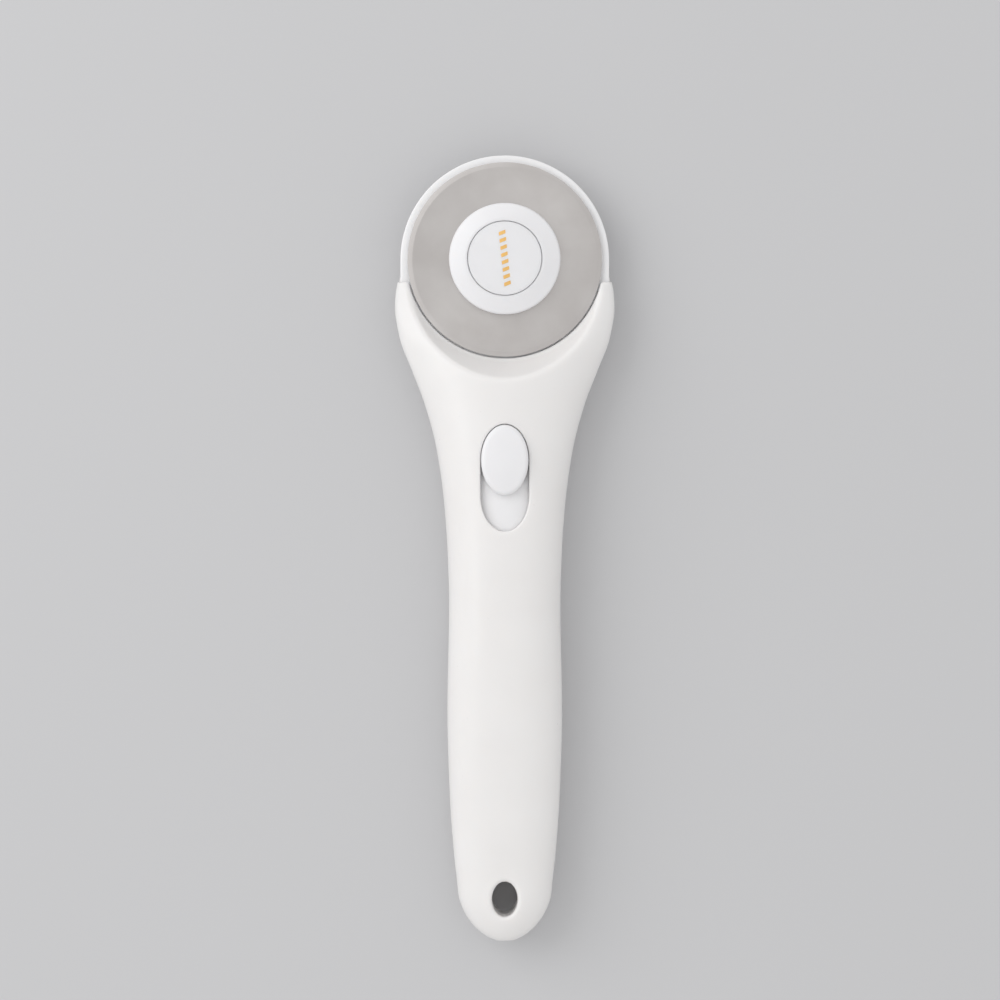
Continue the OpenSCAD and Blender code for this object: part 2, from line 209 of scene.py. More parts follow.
def oval(x, y, half_x, half_y, at_y=0.0, stretch=0.0):
    """An ellipse, or one that is drawn out along y by stretch each way."""
    dy = np.maximum(np.abs(y - at_y) - stretch, 0)
    reach = np.sqrt((x / half_x) ** 2 + (dy / half_y) ** 2)
    slope = np.sqrt((x / half_x**2) ** 2 + (dy / half_y**2) ** 2) / np.maximum(reach, 1e-6)
    return (reach - 1) / np.maximum(slope, 1e-3)


def handle_body(x, s, z, up, inset=0.0):
    """Distance from the handle's outer surface: up is 1 above the parting plane and -1 below it."""
    w = half_width(s) - inset
    w_slope = half_width_slope(s)
    if up > 0:
        h = CROWN_Z - ridge_drop(s) - PART_Z - inset
        h_slope = -ridge_drop_slope(s)
        n = front_power(s)
    else:
        h = np.full_like(s, BACK_DEPTH - inset)
        h_slope = 0.0
        n = BACK_POWER
    tail_l = TAIL_ROUND + END_FLAT - inset
    tongue_l = SEAM_S - TONGUE_S + END_FLAT - inset
    tail_u = (s - TAIL_S + TAIL_ROUND) / tail_l
    tongue_u = (SEAM_S - s) / tongue_l
    u = np.maximum(np.maximum(tail_u, tongue_u), 0)
    u_slope = np.where(tail_u > tongue_u, 1 / tail_l, -1 / tongue_l)
    p = PLAN_POWER
    side = np.abs(x) / w
    height = np.maximum(up * (z - PART_Z), 0) / h
    reach = np.maximum((side**p + u**p) ** (1 / p), 1e-6)
    total = np.maximum((reach**n + height**n) ** (1 / n), 1e-6)
    by_reach = (reach / total) ** (n - 1)
    by_height = (height / total) ** (n - 1)
    by_side = (side / reach) ** (p - 1)
    slope_x = by_reach * by_side / w
    slope_s = by_reach * ((u / reach) ** (p - 1) * u_slope - by_side * side * w_slope / w)
    slope_s = slope_s - by_height * height * h_slope / h
    slope_z = by_height / h
    return (total - 1) / np.sqrt(slope_x**2 + slope_s**2 + slope_z**2 + 1e-9)


def scoop(x, y, z, extra=0.0):
    """The conical dish round the blade, made wider by extra.

    A low lip stands beside the blade's edge.
    """
    rise = z - PART_Z
    lip = SCOOP_LIP * np.exp(-(((rise - 0.8) / 0.5) ** 2))
    wall = np.hypot(x, y) - (SCOOP_R + extra + SCOOP_SLOPE * rise - lip)
    return wall / math.hypot(1, SCOOP_SLOPE)


def front_shell_shape(x, y, z):
    s = -y
    hollow = handle_body(x, s, z, 1, WALL)
    hollow = cut(hollow, -scoop(x, y, z, WALL + 0.2), 0.4)
    for at_x, at_s in SCREWS:
        hollow = cut(hollow, -disc(x, y, PILLAR_R, at_x, -at_s), 0.4)
    hollow = cut(hollow, -oval(x, y, HANG_HALF[0] + WALL, HANG_HALF[1] + WALL, -HANG_S), 0.4)
    for rib_s in GRIP_RIB_S:
        grip_rib = np.abs(s - rib_s) - FRONT_RIB_T / 2
        hollow = cut(hollow, -np.maximum(grip_rib, PART_Z + FRONT_RIB_REACH - z), 0.2)
    shell = cut(handle_body(x, s, z, 1), s - TAIL_S, 0.3)
    shell = cut(shell, np.abs(x) - FRONT_HIGH[0])
    shell = cut(shell, PART_Z - z, 0.32)
    shell = cut(shell, -scoop(x, y, z), 0.9)
    shell = cut(shell, SEAM_S - s, 0.45)
    slot = oval(x, y, SLOT_HALF_W, SLOT_HALF_L, -BUTTON_S - TRAVEL / 2, TRAVEL / 2)
    slot = np.maximum(slot, CROWN_Z - 5 - z)
    shell = cut(shell, -slot, 0.4)
    shell = cut(shell, -oval(x, y, *HANG_HALF, -HANG_S), 1.1)
    for at_x, at_s in SCREWS:
        pilot = np.maximum(disc(x, y, PILOT_R, at_x, -at_s), z - PART_Z - PILOT_DEPTH)
        shell = cut(shell, -pilot)
    return cut(shell, -hollow, 0.3)


def guard_pocket(x, y, z):
    """The room in the rear shell that the guard slides in."""
    slide = TRAVEL + GAP
    disc_room = np.hypot(x, np.maximum(np.abs(y + slide / 2) - slide / 2, 0)) - POCKET_R
    side_room = np.maximum(np.abs(x) - POCKET_R, np.maximum(y, -y - GUARD_SIDE_S - slide))
    stem_room = np.maximum(np.abs(x) - STEM_HALF_W - GAP, -y - STEM_END_S - slide - GAP)
    stem_room = np.maximum(stem_room, y)
    ahead = -y - SEAM_S
    room = np.minimum(np.minimum(disc_room, side_room), np.minimum(stem_room, ahead))
    return cut(room, POCKET_Z - z)


def rear_shell_shape(x, y, z):
    s = -y
    hollow = handle_body(x, s, z, -1, WALL)
    hollow = cut(hollow, WALL - z, 0.5)
    hollow = cut(hollow, 1 - BOSS_R - s)
    hollow = cut(hollow, -disc(x, y, BOSS_R), 0.5)
    turn = np.arctan2(y, x)
    out = np.hypot(x, y)
    for degrees in SPOKES:
        off = turn - math.radians(degrees)
        rib = np.where(np.cos(off) > 0, np.abs(out * np.sin(off)) - RIB_T / 2, 10)
        hollow = cut(hollow, -np.maximum(rib, z - POCKET_Z), 0.2)
    for at_x, at_s in SCREWS:
        hollow = cut(hollow, -disc(x, y, REAR_PILLAR_R, at_x, -at_s), 0.5)
    stem_rib = np.abs(s - STEM_RIB_S) - RIB_T / 2
    hollow = cut(hollow, -np.maximum(stem_rib, z - POCKET_Z), 0.2)
    leaf_rib = np.maximum(np.abs(s - LEAF_RIB_S) - RIB_T / 2, LEAF_RIB_GAP - np.abs(x))
    hollow = cut(hollow, -np.maximum(leaf_rib, z - POCKET_Z), 0.2)
    for rib_s in GRIP_RIB_S:
        grip_rib = np.abs(s - rib_s) - RIB_T / 2
        hollow = cut(hollow, -np.maximum(grip_rib, z - POCKET_Z + 2), 0.2)
    post = np.maximum(disc(x, y, PILLAR_R, 0, -DETENT_FIX_S), z - DETENT_SEAT_Z)
    hollow = cut(hollow, -post, 0.2)
    hollow = cut(hollow, -oval(x, y, HANG_HALF[0] + WALL, HANG_HALF[1] + WALL, -HANG_S), 0.5)
    shell = cut(handle_body(x, s, z, -1), s - TAIL_S, 0.3)
    shell = cut(shell, np.abs(x) - REAR_HIGH[0])
    shell = cut(shell, -z, 0.55)
    shell = cut(shell, z - PART_Z, 0.32)
    shell = cut(shell, -hollow, 0.3)
    shell = cut(shell, -guard_pocket(x, y, z), 0.1)
    shell = cut(shell, -disc(x, y, RELEASE_HOLE_R), 0.5)
    shell = cut(shell, -np.maximum(disc(x, y, RELEASE_ROOM_R), RELEASE_LIP_T - z))
    shell = cut(shell, -np.maximum(disc(x, y, FLANGE_R), FLANGE_Z - z))
    for at_x, at_s in SCREWS:
        bore = np.maximum(disc(x, y, COUNTERBORE_R, at_x, -at_s), z - SCREW_SEAT_Z)
        shell = cut(shell, -bore, 0.5)
        shell = cut(shell, -disc(x, y, SCREW_HOLE_R, at_x, -at_s))
    return cut(shell, -oval(x, y, *HANG_HALF, -HANG_S), 1.1)


def plate_arch(x, z, r):
    return np.hypot(x, z - (PLATE_HIGH[2] - PLATE_R)) - r


def slider_plate_shape(x, y, z):
    mid_y = (PLATE_LOW[1] + PLATE_HIGH[1]) / 2 - AXIS_Y
    half_l = (PLATE_HIGH[1] - PLATE_LOW[1]) / 2
    arch = cut(plate_arch(x, z, PLATE_R), -plate_arch(x, z, PLATE_R - PLATE_T), 0.2)
    arch = cut(arch, -z + PART_Z)
    arch = cut(arch, block(x, y, PLATE_HIGH[0], half_l, 0, mid_y), 0.3)
    leg = np.maximum(PLATE_LOW[2] - z, z - LEG_TOP_Z)
    leg = np.maximum(block(x, y, *LEG_HALF, 0, -BUTTON_S), leg)
    return join(arch, leg, 0.6)


def slide_button_shape(x, y, z):
    half_x = (BUTTON_HIGH[0] - BUTTON_LOW[0]) / 2
    half_y = (BUTTON_HIGH[1] - BUTTON_LOW[1]) / 2
    top = BUTTON_HIGH[2]
    side = oval(x, y, half_x, half_y, -BUTTON_S)
    over = y + BUTTON_S
    dome = z - (top - 0.9 * (over / half_y) ** 2 - 0.35 * (x / half_x) ** 2)
    body = cut(side, dome / 1.03, 1.0)
    return cut(body, -plate_arch(x, z, PLATE_R), 0.1)


# ---- Meshing ----


def surface_net(shape, xs, ys, zs):
    """A closed quad mesh on the zero level of shape, with a vertex in each cell that it crosses."""
    value = np.empty((len(xs), len(ys), len(zs)))
    for k, z in enumerate(zs):
        x, y = np.meshgrid(xs, ys, indexing="ij")
        value[:, :, k] = shape(x, y, np.full_like(x, z))
    inside = value < 0
    grid = (np.asarray(xs), np.asarray(ys), np.asarray(zs))
    cells = tuple(len(g) - 1 for g in grid)
    total = np.zeros(cells + (3,))
    count = np.zeros(cells)
    crossed = []
    for axis in range(3):
        low = [slice(None)] * 3
        high = [slice(None)] * 3
        low[axis], high[axis] = slice(0, -1), slice(1, None)
        a, b = value[tuple(low)], value[tuple(high)]
        hit = inside[tuple(low)] != inside[tuple(high)]
        crossed.append(hit)
        where = np.nonzero(hit)
        t = a[where] / (a[where] - b[where])
        point = np.empty((len(t), 3))
        for i in range(3):
            point[:, i] = grid[i][where[i]]
        point[:, axis] += t * (grid[axis][where[axis] + 1] - grid[axis][where[axis]])
        u, v = [i for i in range(3) if i != axis]
        for du in (0, 1):
            for dv in (0, 1):
                cell = [w.copy() for w in where]
                cell[u] -= du
                cell[v] -= dv
                ok = (cell[u] >= 0) & (cell[v] >= 0) & (cell[u] < cells[u]) & (cell[v] < cells[v])
                flat = np.ravel_multi_index([c[ok] for c in cell], cells)
                np.add.at(count.reshape(-1), flat, 1)
                np.add.at(total.reshape(-1, 3), flat, point[ok])
    used = count > 0
    index = np.full(cells, -1)
    index[used] = np.arange(used.sum())
    points = total[used] / count[used][:, None]
    faces = []
    for axis, (u, v) in enumerate(((1, 2), (2, 0), (0, 1))):
        where = list(np.nonzero(crossed[axis]))
        ok = (where[u] > 0) & (where[v] > 0) & (where[u] < cells[u]) & (where[v] < cells[v])
        where = [w[ok] for w in where]
        corners = []
        for du, dv in ((1, 1), (0, 1), (0, 0), (1, 0)):
            cell = list(where)
            cell[u] = where[u] - du
            cell[v] = where[v] - dv
            corners.append(index[tuple(cell)])
        quad = np.stack(corners, 1)
        outward = inside[tuple(where)]
        faces.append(np.where(outward[:, None], quad, quad[:, ::-1]))
    return settle(shape, points), np.concatenate(faces)


def settle(shape, points, rounds=3):
    """Moves the points onto the zero level of shape."""
    tiny = 0.01
    for _ in range(rounds):
        x, y, z = points.T
        value = shape(x, y, z)
        slope = np.stack([
            shape(x + tiny, y, z) - shape(x - tiny, y, z),
            shape(x, y + tiny, z) - shape(x, y - tiny, z),
            shape(x, y, z + tiny) - shape(x, y, z - tiny),
        ], 1) / (2 * tiny)
        length2 = np.maximum((slope**2).sum(1), 0.25)
        points = points - slope * np.clip(value / length2, -0.15, 0.15)[:, None]
    return points


def spaced(stretches):
    """Grid planes along one axis, from (start, end, spacing) stretches that follow each other."""
    planes = [np.arange(a, b - step / 2, step) for a, b, step in stretches]
    return np.concatenate(planes + [[stretches[-1][1]]])


def arc(r, start, end, steps):
    turns = [start + (end - start) * k / steps for k in range(steps + 1)]
    return [(r * math.cos(a), r * math.sin(a)) for a in turns]


def fillet(corners, steps=5):
    """A closed outline from (u, v, radius) corners, each rounded to its radius."""
    outline = []
    for i, (u, v, r) in enumerate(corners):
        here = np.array((u, v), float)
        if r == 0:
            outline.append(tuple(here))
            continue
        back = np.array(corners[i - 1][:2]) - here
        on = np.array(corners[(i + 1) % len(corners)][:2]) - here
        back, on = back / np.linalg.norm(back), on / np.linalg.norm(on)
        half = math.acos(np.clip(back @ on, -1, 1)) / 2
        centre = here + (back + on) / np.linalg.norm(back + on) * r / math.sin(half)
        start = here + back * r / math.tan(half) - centre
        end = here + on * r / math.tan(half) - centre
        sweep = math.acos(np.clip(start @ end / r**2, -1, 1))
        for k in range(steps + 1):
            t = k / steps
            blend = math.sin((1 - t) * sweep) * start + math.sin(t * sweep) * end
            outline.append(tuple(centre + blend / math.sin(sweep)))
    return outline


def lathe(profile, segments=192):
    """Turns a closed (radius, z) outline about the blade axis. A radius of 0 closes on the axis."""
    points, rings = [], []
    for r, z in profile:
        count = 1 if r < 1e-6 else segments
        rings.append(range(len(points), len(points) + count))
        turn = [2 * math.pi * k / segments for k in range(count)]
        points += [(r * math.cos(a), r * math.sin(a), z) for a in turn]
    faces = []
    for i, ring in enumerate(rings):
        after = rings[(i + 1) % len(rings)]
        if len(ring) == 1 and len(after) == 1:
            continue
        for k in range(segments):
            j = (k + 1) % segments
            low, high = len(ring), len(after)
            quad = [ring[k % low], ring[j % low], after[j % high], after[k % high]]
            faces.append(list(dict.fromkeys(quad)))
    return points, faces


def inset_loop(loop, amount):
    """A closed loop of (x, y) points moved to its left by amount."""
    p = np.array(loop)
    along = np.roll(p, -1, 0) - np.roll(p, 1, 0)
    along /= np.linalg.norm(along, axis=1)[:, None]
    return p + amount * np.stack([-along[:, 1], along[:, 0]], 1)


def plate(loops, low, high, edge, steps=4):
    """A flat plate with rounded edges.

    loops[0] runs anticlockwise, and the others are holes that run clockwise.
    """
    points, faces = [], []
    levels = []
    for k in range(steps + 1):
        a = math.pi / 2 * k / steps
        levels.append((edge * (1 - math.sin(a)), low + edge * (1 - math.cos(a))))
    levels += [(d, low + high - z) for d, z in reversed(levels)]
    caps = {0: [], len(levels) - 1: []}
    for loop in loops:
        first = len(points)
        n = len(loop)
        for level, (depth, z) in enumerate(levels):
            ring = inset_loop(loop, depth)
            if level in caps:
                caps[level].append((len(points), ring))
            points += [(x, y, z) for x, y in ring]
        for level in range(len(levels) - 1):
            a, b = first + level * n, first + (level + 1) * n
            faces += [[a + k, a + (k + 1) % n, b + (k + 1) % n, b + k] for k in range(n)]
    for level, rings in caps.items():
        ids = [start + k for start, ring in rings for k in range(len(ring))]
        filled = tessellate_polygon([[Vector((x, y, 0)) for x, y in ring] for _, ring in rings])
        for tri in filled:
            (ax, ay), (bx, by), (cx, cy) = (points[ids[i]][:2] for i in tri)
            up = (bx - ax) * (cy - ay) - (by - ay) * (cx - ax) > 0
            face = [ids[i] for i in tri]
            faces.append(face if up == (level > 0) else face[::-1])
    return points, faces


def tube(path, r, sides=14):
    """A round wire along path, with flat ends."""
    path = np.array(path)
    along = np.gradient(path, axis=0)
    along /= np.linalg.norm(along, axis=1)[:, None]
    out = np.cross(along, (0, 0, 1.0))
    out /= np.linalg.norm(out, axis=1)[:, None]
    up = np.cross(out, along)
    turn = np.arange(sides) * 2 * math.pi / sides
    ring = np.cos(turn)[None, :, None] * out[:, None] + np.sin(turn)[None, :, None] * up[:, None]
    points = (path[:, None] + r * ring).reshape(-1, 3)
    faces = [list(range(sides))[::-1], list(range(len(points) - sides, len(points)))]
    for i in range(len(path) - 1):
        for k in range(sides):
            j = (k + 1) % sides
            faces.append([i * sides + k, i * sides + j, (i + 1) * sides + j, (i + 1) * sides + k])
    return points, faces


def piece(name, shape, body, nodes, material, sharp=40):
    """Makes a piece from (points, faces) that rides on a body and stands for CAD nodes."""
    points, faces = shape
    points = np.array(points, float)
    points[:, 1] += AXIS_Y
    mesh = bpy.data.meshes.new(name)
    faces = faces.tolist() if isinstance(faces, np.ndarray) else faces
    mesh.from_pydata((points * MM).tolist(), [], faces)
    mesh.validate()
    mesh.polygons.foreach_set("use_smooth", [True] * len(mesh.polygons))
    mesh.set_sharp_from_angle(angle=math.radians(sharp))
    mesh.materials.append(material)
    obj = bpy.data.objects.new(name, mesh)
    bpy.context.scene.collection.objects.link(obj)
    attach(obj, body)
    if nodes:
        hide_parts(*nodes)
    return obj


# ---- Materials ----


class Shader:
    """A Principled material, with short calls that add its nodes."""

    def __init__(self, name, color, **sockets):
        self.material = bpy.data.materials.new(name)
        self.material.use_nodes = True
        self.tree = self.material.node_tree
        self.base = self.tree.nodes["Principled BSDF"]
        self.base.inputs["Base Color"].default_value = (*color, 1)
        for socket, value in sockets.items():
            self.base.inputs[socket.replace("_", " ")].default_value = value

    def node(self, kind, values=(), **settings):
        made = self.tree.nodes.new("ShaderNode" + kind)
        for key, value in settings.items():
            setattr(made, key, value)
        for key, value in dict(values).items():
            if isinstance(value, bpy.types.NodeSocket):
                self.tree.links.new(value, made.inputs[key])
            else:
                made.inputs[key].default_value = value
        return made

    def drive(self, socket, output):
        self.tree.links.new(output, self.base.inputs[socket])

    def place(self):
        """Coordinates in metres, measured in the piece's own frame."""
        return self.node("TexCoord").outputs["Object"]

    def noise(self, scale, detail=3.0, vector=None, roughness=0.5):
        values = {"Vector": vector or self.place(), "Scale": scale, "Detail": detail,
                  "Roughness": roughness}
        return self.node("TexNoise", values).outputs["Fac"]

    def spread(self, fac, low, high, from_low=0.3, from_high=0.7):
        values = {"Value": fac, "From Min": from_low, "From Max": from_high, "To Min": low,
                  "To Max": high}
        return self.node("MapRange", values).outputs["Result"]

    def tint(self, fac, low, high):
        mix = self.node("Mix", data_type="RGBA")
        self.tree.links.new(fac, mix.inputs[0])
        mix.inputs[6].default_value = (*low, 1)
        mix.inputs[7].default_value = (*high, 1)
        return mix.outputs[2]

    def bump(self, height, distance, strength=1.0, normal=None):
        values = {"Height": height, "Distance": distance, "Strength": strength}
        if normal is not None:
            values["Normal"] = normal
        return self.node("Bump", values).outputs["Normal"]


def soften(m):
    """Lets light a little way into a white plastic."""
    m.base.inputs["Subsurface Weight"].default_value = 0.4
    m.base.inputs["Subsurface Radius"].default_value = (1.0, 0.96, 0.92)
    m.base.inputs["Subsurface Scale"].default_value = 0.0018


def pearl_plastic():
    """Warm white pearl plastic with fine flakes and a clear coat."""
    m = Shader("pearl_plastic", (0.87, 0.85, 0.84), Roughness=0.34, Coat_Weight=0.2,
               Coat_Roughness=0.12)
    soften(m)
    cloud = m.noise(60, 4)
    low, high = (0.862, 0.842, 0.83), (0.885, 0.868, 0.858)
    m.drive("Base Color", m.tint(m.spread(cloud, 0, 1), low, high))
    flakes = m.node("TexVoronoi", {"Vector": m.place(), "Scale": 3600.0})
    tilt = m.bump(m.spread(flakes.outputs["Color"], 0, 1, 0, 1), 0.00002, 0.12)
    skin = m.bump(m.noise(900, 2), 0.000015, 0.3, tilt)
    m.drive("Normal", skin)
    m.drive("Roughness", m.spread(flakes.outputs["Color"], 0.27, 0.42, 0, 1))
    return m.material


def white_plastic(name, white):
    """Cool white moulded plastic."""
    m = Shader(name, white, Roughness=0.33)
    soften(m)
    cloud = m.noise(80, 3)
    low, high = (tuple(c * share for c in white) for share in (0.99, 1.02))
    m.drive("Base Color", m.tint(m.spread(cloud, 0, 1), low, high))
    m.drive("Roughness", m.spread(m.noise(250, 3), 0.29, 0.38))
    m.drive("Normal", m.bump(m.noise(1100, 2), 0.00001, 0.25))
    return m.material


def blade_steel():
    """Tool steel with the fine rings that circular grinding leaves."""
    m = Shader("blade_steel", (0.6, 0.575, 0.56), Metallic=1.0, Roughness=0.34, Anisotropic=0.35)
    axis = (0, AXIS_Y * MM, 0)
    off = m.node("VectorMath", {0: m.place(), 1: axis}, operation="SUBTRACT").outputs["Vector"]
    flat = m.node("VectorMath", {0: off, 1: (1, 1, 0)}, operation="MULTIPLY").outputs["Vector"]
    radius = m.node("VectorMath", {0: flat}, operation="LENGTH").outputs["Value"]
    along = m.node("CombineXYZ", {"X": radius}).outputs["Vector"]
    rings = m.noise(6000, 3, along, 0.7)
    broad = m.noise(500, 2, along)
    cloud = m.noise(110, 5)
    low, high = (0.57, 0.542, 0.527), (0.632, 0.607, 0.592)
    m.drive("Base Color", m.tint(m.spread(cloud, 0, 1), low, high))
    m.drive("Roughness", m.spread(broad, 0.31, 0.39))
    m.drive("Normal", m.bump(rings, 0.00001, 0.3))
    tangent = m.node("Tangent", direction_type="RADIAL", axis="Z").outputs["Tangent"]
    m.drive("Tangent", tangent)
    return m.material


def plain_metal(name, color, rough, grain=1500):
    """Turned or drawn metal with fine grain and slightly uneven polish."""
    m = Shader(name, color, Metallic=1.0, Roughness=rough)
    low = tuple(c * 0.92 for c in color)
    m.drive("Base Color", m.tint(m.spread(m.noise(200, 3), 0, 1), low, color))
    m.drive("Roughness", m.spread(m.noise(grain, 3), rough - 0.06, rough + 0.08))
    m.drive("Normal", m.bump(m.noise(grain * 2, 2), 0.00001, 0.2))
    return m.material


PEARL = pearl_plastic()
WHITE = white_plastic("white_plastic", (0.86, 0.855, 0.87))
GUARD_WHITE = white_plastic("guard_plastic", (0.92, 0.912, 0.922))
BLADE = blade_steel()
GOLD = plain_metal("gold_foil", (1.0, 0.62, 0.22), 0.4)
SCREW = plain_metal("screw_zinc", (0.72, 0.72, 0.73), 0.28)
TURNED = plain_metal("machined_steel", (0.6, 0.61, 0.63), 0.3)
SPRING = plain_metal("spring_steel", (0.55, 0.56, 0.58), 0.34)
BRASS = plain_metal("bush_brass", (0.72, 0.56, 0.28), 0.3)


# ---- Pieces ----


def shells():
    """Both shells. Their grids are fine at the seam, slot and rims, and coarse elsewhere."""
    edge, side, mid = 25.83, 22.1, 6.5
    front_xs = spaced([(-edge, -side, 0.23), (-side, -mid, 0.42), (-mid, mid, 0.28),
                       (mid, side, 0.42), (side, edge, 0.23)])
    front_s = spaced([(SEAM_S - 0.61, 7.1, 0.23), (7.1, 37, 0.42), (37, 65, 0.28),
                      (65, 137, 0.62), (137, TAIL_S + 0.83, 0.38)])
    front_zs = spaced([(PART_Z - 0.37, PART_Z + 0.68, 0.15), (PART_Z + 0.68, CROWN_Z + 0.6, 0.37)])
    front = surface_net(front_shell_shape, front_xs, -front_s[::-1], front_zs)
    piece("front_shell_moulding", front, "handle", ["front_shell"], PEARL)
    rear_xs = spaced([(-edge, -side, 0.25), (-side, side, 0.52), (side, edge, 0.25)])
    rear_s = spaced([(TONGUE_S - 0.71, 7.1, 0.34), (7.1, 60, 0.52), (60, 137, 0.7),
                     (137, TAIL_S + 0.83, 0.44)])
    rear_zs = spaced([(-0.53, PART_Z - 0.68, 0.42), (PART_Z - 0.68, PART_Z + 0.37, 0.15)])
    rear = surface_net(rear_shell_shape, rear_xs, -rear_s[::-1], rear_zs)
    piece("rear_shell_moulding", rear, "handle", ["rear_shell"], PEARL)


def guard():
    """The flat guard: a round plate with a stem down into the handle and a slot for the arbor."""
    stem_turn = math.asin(STEM_HALF_W / GUARD_R)
    side_turn = math.asin(GUARD_SIDE_S / GUARD_R)
    right = arc(GUARD_R, stem_turn - math.pi / 2, -side_turn, 60) + [(GUARD_R, -GUARD_SIDE_S)]
    left = [(-x, y) for x, y in reversed(right)]
    rim = right + arc(GUARD_R, 0, math.pi, 160) + left
    foot = fillet([(-STEM_HALF_W, -GUARD_R - 1, 0), (-STEM_HALF_W, -STEM_END_S, 1.2),
                   (STEM_HALF_W, -STEM_END_S, 1.2), (STEM_HALF_W, -GUARD_R - 1, 0)])
    slot_r, screw_hole_r = 4.8, 1.3
    slot = [(slot_r * math.cos(a), slot_r * math.sin(a) + (TRAVEL if math.sin(a) > 0 else 0))
            for a in (-2 * math.pi * (k + 0.5) / 64 for k in range(64))]
    hole = [(screw_hole_r * math.cos(a), screw_hole_r * math.sin(a) - BUTTON_S)
            for a in (-2 * math.pi * k / 32 for k in range(32))]
    shape = plate([rim + foot, slot, hole], GUARD_LOW[2], GUARD_HIGH[2], 0.32)
    piece("guard_plate", shape, "guard", ["blade_guard"], GUARD_WHITE)


def slider():
    low, high = PLATE_LOW - (0, AXIS_Y, 0), PLATE_HIGH - (0, AXIS_Y, 0)
    axes = [np.arange(a - 0.83, b + 0.9, 0.35) for a, b in zip(low, high)]
    piece("slider_floor_plate", surface_net(slider_plate_shape, *axes), "guard",
          ["slider_plate"], GUARD_WHITE)
    low, high = BUTTON_LOW - (0, AXIS_Y, 0), BUTTON_HIGH - (0, AXIS_Y, 0)
    axes = [np.arange(a - 0.61, b + 0.7, 0.19) for a, b in zip(low, high)]
    piece("slide_button_cap", surface_net(slide_button_shape, *axes), "guard",
          ["slide_button"], WHITE)


def shell_screw_shape(x, y, z):
    """A cross-head screw that points up, with the face of its head at z = 0."""
    head_r, head_h, head_dome = 2.6, 1.5, 0.35
    out = np.hypot(x, y)
    head = cut(out - head_r, z - head_h, 0.15)
    head = cut(head, head_dome * (out / head_r) ** 2 - z, 0.3)
    depth = np.clip(z, 0, 1)
    arm_l, arm_w = 1.45 - 0.75 * depth, 0.36 - 0.14 * depth
    across = np.maximum(np.abs(x) - arm_l, np.abs(y) - arm_w)
    along = np.maximum(np.abs(y) - arm_l, np.abs(x) - arm_w)
    head = cut(head, -np.maximum(np.minimum(across, along), z - 1), 0.08)
    pitch, tip_z = 0.9, 10.05
    turn = z / pitch - np.arctan2(y, x) / (2 * np.pi)
    crest = 1 - 2 * np.abs(turn - np.floor(turn) - 0.5)
    core = 0.86 + np.where(z > 2.4, 0.24, 0) * np.clip(1.6 * crest, 0, 1)
    core = np.minimum(core, 0.35 + (tip_z - z) * 0.8)
    shank = np.maximum((out - core) * 0.85, np.maximum(0.75 - z, z - tip_z))
    return join(head, shank, 0.2)


def shell_screws():
    across = np.arange(-2.73, 2.8, 0.13)
    points, faces = surface_net(shell_screw_shape, across, across, np.arange(-0.17, 10.3, 0.12))
    low = node_box("shell_screws")[0][2]
    all_points = [points + (at_x, -at_s, low) for at_x, at_s in SCREWS]
    all_faces = [faces + k * len(points) for k in range(len(SCREWS))]
    piece("shell_screw_set", (np.concatenate(all_points), np.concatenate(all_faces)), "handle",
          ["shell_screws"], SCREW, 35)


def blade_assembly():
    low, high = BLADE_LOW[2], BLADE_HIGH[2]
    bevel = 1.1
    bore = 4.0
    profile = [(bore, low), (BLADE_R - bevel, low), (BLADE_R, (low + high) / 2),
               (BLADE_R - bevel, high), (bore, high)]
    piece("blade_disc", lathe(profile, 256), "blade_assembly", ["blade"], BLADE, 5)
    hub_r = (HUB_HIGH[0] - HUB_LOW[0]) / 2
    plug_r = (PLUG_HIGH[0] - PLUG_LOW[0]) / 2
    top, seat = HUB_HIGH[2], PLUG_LOW[2]
    profile = fillet([
        (bore, HUB_LOW[2], 0), (hub_r - 0.15, HUB_LOW[2], 0.2), (hub_r, top - 1.4, 0.8),
        (plug_r + 0.6, top, 2.5), (plug_r + 0.12, top, 0.12), (plug_r + 0.12, seat, 0),
        (bore, seat, 0),
    ])
    piece("hub_cap_ring", lathe(profile), "blade_assembly", ["hub_cap"], WHITE, 30)
    dome = 0.35
    face = [(plug_r * k / 8, PLUG_HIGH[2] - dome * (k / 8) ** 2, 0.12 if k == 8 else 0)
            for k in range(8, -1, -1)]
    profile = fillet([(0, seat, 0), (plug_r, seat, 0.1)] + face)
    piece("hub_plug_disc", lathe(profile), "blade_assembly", ["hub_plug"], WHITE,
          30)
    stitches(PLUG_HIGH[2], dome / plug_r**2)


def stitches(level, bend):
    """A gold line of short slanted stitches, laid on the domed plug: a plain ornament."""
    count, half_l, half_w, slant, pitch, lean = 8, 0.42, 0.78, 0.22, 1.68, math.radians(6)
    points, faces = [], []
    for k in range(count):
        at = (k - (count - 1) / 2) * pitch
        low, high = at - half_l, at + half_l
        loop = fillet([(-half_w, low - slant, 0.12), (half_w, low + slant, 0.12),
                       (half_w, high + slant, 0.12), (-half_w, high - slant, 0.12)], 3)
        dash_points, dash_faces = plate([loop], level - 0.03, level + 0.03, 0.01, 1)
        faces += [[i + len(points) for i in face] for face in dash_faces]
        points += dash_points
    turned = [(x * math.cos(lean) - y * math.sin(lean), x * math.sin(lean) + y * math.cos(lean),
               z - bend * (x * x + y * y)) for x, y, z in points]
    piece("gold_stitch_mark", (turned, faces), "blade_assembly", [], GOLD)


